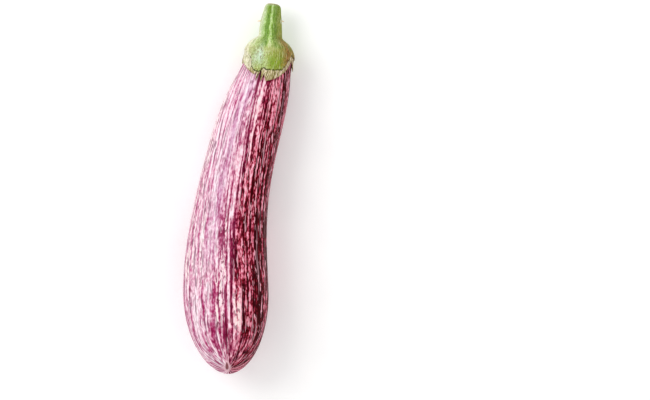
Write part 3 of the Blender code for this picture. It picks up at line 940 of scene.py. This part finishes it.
def skin_material():
    """Fine wine and mauve streaks, dashes and flecks along the fruit, over a nearly white ground."""
    n = Nodes("striped_skin")
    straight = n.attribute("grain", "Vector")
    flush_and_shade = n.attribute("flush_and_shade")
    waver = n.new("TexNoise")
    waver.inputs["Scale"].default_value = 1.0
    waver.inputs["Detail"].default_value = 1.0
    n.link(n.stretch(straight, 5.0, 9.0), waver.inputs["Vector"])
    sway = n.new("VectorMath")
    sway.operation = "MULTIPLY_ADD"
    n.link(waver.outputs["Color"], sway.inputs[0])
    sway.inputs[1].default_value = SKIN_SWAY_MM
    n.link(straight, sway.inputs[2])
    grain = sway.outputs[0]

    # Broad bands, long lines, short dashes and flecks, which are wider at the blossom end
    narrow = n.attribute("narrow")
    bands = n.noise(grain, 5.0, 90.0, detail=1.0, seed=1)
    fine_lines = n.noise(grain, 1.75, 56.0, seed=2)
    wide_lines = n.noise(grain, 3.6, 40.0, roughness=0.6, seed=9)
    lines = n.crisp(n.blend(narrow, fine_lines, wide_lines), 0.55)
    fine_dashes = n.noise(grain, 1.6, 8.0, roughness=0.6, seed=3)
    wide_dashes = n.noise(grain, 3.0, 6.0, roughness=0.6, seed=10)
    dashes = n.crisp(n.blend(narrow, fine_dashes, wide_dashes), 0.5)
    fine_flecks = n.noise(grain, 1.3, 2.4, detail=1.0, seed=4)
    wide_flecks = n.noise(grain, 2.4, 2.8, detail=1.0, seed=20)
    flecks = n.crisp(n.blend(narrow, fine_flecks, wide_flecks), 0.5)
    pattern = n.weigh(
        (bands, 0.14),
        (lines, n.between(narrow, 0.0, 1.0, 0.6, 0.32)),
        (dashes, n.between(narrow, 0.0, 1.0, 0.3, 0.48)),
        (flecks, n.between(narrow, 0.0, 1.0, 0.26, 0.36)),
    )

    # They swing the flush less on the light side and within the single streaks
    streak = n.attribute("streak")
    swing = n.between(flush_and_shade, 0.36, 0.58, 0.27, 0.6)
    swing = n.plus(swing, n.times(narrow, 0.2))
    calm = n.between(n.math("ABSOLUTE", streak), 0.08, 0.5, 1.0, 0.35)
    value = n.plus(flush_and_shade, streak)
    value = n.plus(value, n.times(n.times(pattern, swing), calm))

    # The ground's colours on the light side and on the dark side, whose darkness is partly painted shade
    pale = n.ramp(
        value,
        (0.0, 252, 240, 245),
        (0.2, 246, 222, 231),
        (0.34, 233, 195, 210),
        (0.46, 212, 158, 180),
        (0.58, 192, 104, 144),
        (0.72, 160, 38, 92),
        (1.0, 118, 8, 54),
    )
    deep = n.ramp(
        value,
        (0.0, 255, 214, 228),
        (0.26, 248, 168, 188),
        (0.42, 228, 120, 144),
        (0.54, 186, 72, 98),
        (0.64, 147, 32, 54),
        (0.76, 108, 9, 24),
        (0.9, 80, 2, 10),
        (1.0, 56, 1, 6),
    )
    n.colour = n.mix(n.between(flush_and_shade, 0.4, 0.72), pale, deep)
    cream = n.times(n.attribute("creamy"), n.between(value, 0.2, 0.46, 0.75, 0.0))
    n.paint(cream, tone(250, 238, 228))
    # Painted sheen: a soft lilac highlight along the fruit's left side, laid into the colour
    painted_sheen = n.times(n.attribute("painted_sheen"), n.between(lines, -1.0, 1.0, 0.18, 0.5))
    painted_sheen = n.times(painted_sheen, n.between(value, 0.6, 0.85, 1.0, 0.2))
    n.paint(painted_sheen, tone(206, 164, 198))

    # Grey hairlines on the light side, pink dashes on the dark side, pale threads, and dark flecks
    hairlines = n.noise(grain, 1.15, 13.0, detail=1.0, seed=5)
    light = n.between(flush_and_shade, 0.4, 0.6, 1.0, 0.0)
    grey = n.times(n.rise(hairlines, 0.21, 0.46, 0.8), light)
    grey = n.times(grey, n.between(n.attribute("painted_sheen"), 0.0, 1.0, 1.0, 0.4))
    n.paint(grey, tone(134, 90, 112))
    pink_dashes = n.noise(grain, 1.3, 8.0, roughness=0.6, seed=6)
    dark = n.between(flush_and_shade, 0.5, 0.75)
    pink = n.times(n.rise(pink_dashes, 0.32, 0.52, 0.88), dark)
    n.paint(pink, tone(251, 180, 196))
    threads = n.noise(grain, 1.3, 40.0, detail=1.0, seed=8)
    thread = n.rise(threads, 0.48, 0.66, 0.7)
    thread = n.times(thread, n.between(flush_and_shade, 0.76, 0.95, 1.0, 0.35))
    n.paint(thread, n.mix(dark, tone(248, 214, 226), tone(254, 192, 206)))
    specks = n.noise(grain, 1.35, 3.6, detail=1.0, seed=17)
    fleck = n.times(n.rise(specks, 0.16, 0.42, 0.9), n.attribute("flecked"))
    fleck_tone = n.mix(n.between(specks, 0.3, 0.7), tone(150, 66, 102), tone(104, 24, 54))
    n.paint(fleck, fleck_tone)

    # Painted shadow in the slit below the calyx, and the scar with its halo
    gap_shadow = n.rise(n.attribute("gap_shadow"), 0.2, 0.6, 0.92)
    n.paint(gap_shadow, tone(46, 22, 26))
    scar = n.attribute("scar")
    n.paint(n.rise(scar, 0.12, 0.26, 0.6), tone(238, 196, 204))
    n.paint(n.rise(scar, 0.44, 0.66, 0.95), tone(128, 68, 74))

    pores = n.noise(straight, 0.5, 0.6, detail=3.0, seed=7)
    rough = n.between(n.plus(n.times(lines, 0.4), pores), -1.5, 1.5, 0.34, 0.48)
    relief = n.weigh((fine_lines, 0.6), (pores, 0.35))
    n.shader.inputs["Specular IOR Level"].default_value = SKIN_SPECULAR
    return n.finish(rough, n.bump(relief, SKIN_RELIEF))


def calyx_material():
    """Green stem with painted light and shade on its ridges and left side, a mottled cap with a mint and
    a tan side, and a pale thin margin.
    """
    n = Nodes("green_calyx")
    straight = n.attribute("grain", "Vector")
    toward = n.attribute("toward")
    over = n.attribute("over")
    rib = n.attribute("rib")
    fibre = n.noise(straight, 1.1, 14.0, detail=3.0, roughness=0.6, seed=11)
    blotch = n.noise(straight, 2.6, 3.4, seed=12)
    speck = n.noise(straight, 0.9, 1.1, roughness=0.65, seed=13)
    dots = n.noise(straight, 1.2, 1.4, detail=1.0, seed=14)

    # The stem's colour, with its painted light and shade
    stem_value = n.weigh((fibre, 0.35), (n.attribute("light"), 0.72), (speck, 0.62), (blotch, 0.34))
    stem = n.ramp(
        n.between(stem_value, -1.0, 1.0),
        (0.0, 60, 100, 14),
        (0.22, 98, 144, 42),
        (0.45, 144, 184, 78),
        (0.65, 186, 222, 124),
        (0.82, 216, 242, 166),
        (1.0, 244, 250, 214),
    )
    cap_value = n.weigh((blotch, 0.6), (speck, 0.6), (rib, 0.25))
    cap = n.ramp(
        n.between(cap_value, -1.0, 1.0),
        (0.0, 112, 110, 40),
        (0.25, 148, 152, 66),
        (0.5, 180, 190, 98),
        (0.75, 206, 214, 140),
        (1.0, 232, 232, 180),
    )
    n.colour = n.mix(n.rise(toward, 0.0, 0.14), stem, cap)
    edge_of_tint = n.between(n.plus(blotch, speck), -1.1, 1.1, 0.35, 1.15)
    for name, dark, light, share in (
        ("olive", tone(122, 112, 34), tone(176, 168, 88), 0.9),
        ("leaf", tone(92, 134, 4), tone(152, 184, 36), 1.0),
        ("beige", tone(168, 150, 98), tone(214, 206, 154), 0.85),
        ("mint", tone(158, 196, 130), tone(222, 240, 204), 0.9),
        ("tan", tone(88, 46, 14), tone(184, 128, 70), 1.0),
        ("cream", tone(228, 218, 190), tone(255, 249, 234), 1.0),
        # Painted highlight on the cap
        ("painted_highlight", tone(206, 230, 210), tone(238, 250, 240), 0.9),
    ):
        shade = n.mix(n.between(n.plus(speck, dots), -0.8, 0.8), dark, light)
        amount = n.times(n.times(n.attribute(name), edge_of_tint), share, clamp=True)
        n.paint(amount, shade)

    on_cap = n.between(toward, 0.03, 0.2)
    brown = n.times(n.rise(dots, 0.32, 0.58, 0.7), on_cap)
    n.paint(brown, tone(122, 92, 34))
    vein = n.noise(straight, 0.75, 6.0, detail=1.0, seed=15)
    n.paint(n.rise(vein, 0.32, 0.6, 0.5), tone(84, 100, 24))
    n.paint(n.rise(vein, -0.36, -0.7, 0.4), tone(236, 242, 192))
    wander = n.plus(over, n.times(speck, 0.5))
    on_blade = n.between(toward, 0.15, 0.4)
    band = n.times(n.between(wander, -0.9, -0.1, 0.85, 0.0, smooth=True), on_blade)
    band = n.times(band, n.between(n.attribute("cream"), 0.2, 0.9, 1.0, 0.3))
    strands = n.noise(straight, 0.8, 5.0, detail=1.0, seed=16)
    strand_colour = n.ramp(
        n.between(n.weigh((strands, 1.5), (speck, 0.7)), -1.0, 1.0),
        (0.0, 70, 46, 28),
        (0.28, 144, 122, 80),
        (0.5, 192, 180, 132),
        (0.75, 234, 216, 184),
        (1.0, 252, 226, 216),
    )
    n.paint(band, strand_colour)
    # Painted shade along the crease just below the thick green part, broken up by the blotches
    near_crease = n.math("ABSOLUTE", n.plus(wander, 0.15))
    broken = n.times(n.between(blotch, -0.7, 0.0, 0.15, 1.0), on_blade)
    crease = n.times(n.between(near_crease, 0.1, 0.75, 0.95, 0.0, smooth=True), broken)
    n.paint(crease, tone(40, 36, 6))
    rim = n.rise(toward, 0.955, 0.995, 0.55)
    n.paint(rim, tone(150, 116, 80))
    cut = n.between(n.attribute("cut"), 0.74, 0.9, 1.0, 0.0, smooth=True)
    ringed = n.plus(n.attribute("cut"), n.times(speck, 0.1))
    pith = n.ramp(
        ringed,
        (0.0, 196, 176, 118),
        (0.22, 236, 226, 182),
        (0.48, 222, 212, 158),
        (0.6, 158, 150, 84),
        (0.7, 206, 200, 140),
        (0.86, 150, 138, 84),
    )
    n.paint(cut, pith)

    rough = n.between(n.plus(fibre, speck), -1.5, 1.5, 0.48, 0.68)
    relief = n.weigh((fibre, 0.7), (speck, 0.6))
    n.shader.inputs["Specular IOR Level"].default_value = CALYX_SPECULAR
    return n.finish(rough, n.bump(relief, CALYX_RELIEF))


def prickle_material():
    """Green at the root, then cream, with a brown point."""
    n = Nodes("pale_prickle")
    height = n.attribute("height")
    where = n.new("TexCoord").outputs["Object"]
    grain = n.noise(where, PRICKLE_GRAIN, PRICKLE_GRAIN, seed=21)
    n.colour = n.ramp(
        n.plus(height, n.times(grain, 0.06)),
        (0.0, 150, 172, 96),
        (0.34, 222, 212, 168),
        (0.62, 250, 228, 200),
        (0.88, 236, 184, 160),
        (1.0, 150, 96, 66),
    )
    rough = n.between(grain, -1.0, 1.0, 0.38, 0.55)
    return n.finish(rough, n.bump(grain, PRICKLE_RELIEF))


def floor_material():
    """A pale, faintly glowing sheet."""
    n = Nodes("pale_floor")
    where = n.new("TexCoord").outputs["Object"]
    grain = n.noise(where, FLOOR_GRAIN, FLOOR_GRAIN, seed=31)
    n.colour = n.mix(n.between(grain, -1.0, 1.0), tone(243, 243, 243), tone(247, 247, 246))
    n.shader.inputs["Emission Color"].default_value = (1, 1, 1, 1)
    n.shader.inputs["Emission Strength"].default_value = FLOOR_GLOW
    return n.finish(n.between(grain, -1.0, 1.0, 0.85, 0.9), n.bump(grain, FLOOR_RELIEF))


def make_floor():
    half = FLOOR_HALF
    mesh = bpy.data.meshes.new("floor")
    corners = [(-half, -half, 0), (half, -half, 0), (half, half, 0), (-half, half, 0)]
    mesh.from_pydata(corners, [], [(0, 1, 2, 3)])
    floor = put_in_scene("floor", mesh)
    floor.location.z = -FLOOR_DROP
    mesh.materials.append(floor_material())


def add_light(name, place, size, power):
    """A round soft light that looks at the fruit."""
    data = bpy.data.lights.new(name, "AREA")
    data.shape = "DISK"
    data.size = size
    data.energy = power
    lamp = put_in_scene(name, data)
    lamp.location = place
    aim = Vector(LIGHT_TARGET) - Vector(place)
    lamp.rotation_euler = aim.to_track_quat("-Z", "Y").to_euler()


def light_scene():
    """A large soft light from the upper left, a weak one from the right, and an even white world."""
    add_light("key", *KEY_LIGHT)
    add_light("fill", *FILL_LIGHT)
    world = bpy.data.worlds.new("studio")
    world.use_nodes = True
    background = world.node_tree.nodes["Background"]
    background.inputs["Color"].default_value = (1, 1, 1, 1)
    background.inputs["Strength"].default_value = WORLD_STRENGTH
    bpy.context.scene.world = world
    bpy.context.scene.view_settings.view_transform = "Standard"


def place_camera():
    """Straight above the middle of the photograph's frame."""
    data = bpy.data.cameras.new("camera")
    data.sensor_width = SENSOR
    data.lens = SENSOR * CAMERA_DISTANCE / (FRAME_PIXELS[0] * PIXEL)
    data.clip_end = CLIP_END
    camera = put_in_scene("camera", data)
    x = (FRAME_PIXELS[0] / 2 - OBJECT_PIXEL[0]) * PIXEL
    y = (OBJECT_PIXEL[1] - FRAME_PIXELS[1] / 2) * PIXEL
    camera.location = (x, y, VIEW_PLANE + CAMERA_DISTANCE)
    bpy.context.scene.camera = camera


def dress(item, material, node):
    """Gives the piece its material, hangs it under the root body, and hides the solid it stands for."""
    item.data.materials.append(material)
    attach(item, "root")
    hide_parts(node)


def main():
    rng = random.Random(SEED)
    place_camera()
    light_scene()
    make_floor()
    dress(make_fruit(), skin_material(), "fruit")
    dress(make_calyx(rng), calyx_material(), "calyx_stem")
    dress(make_prickles(rng), prickle_material(), "calyx_stem")


main()
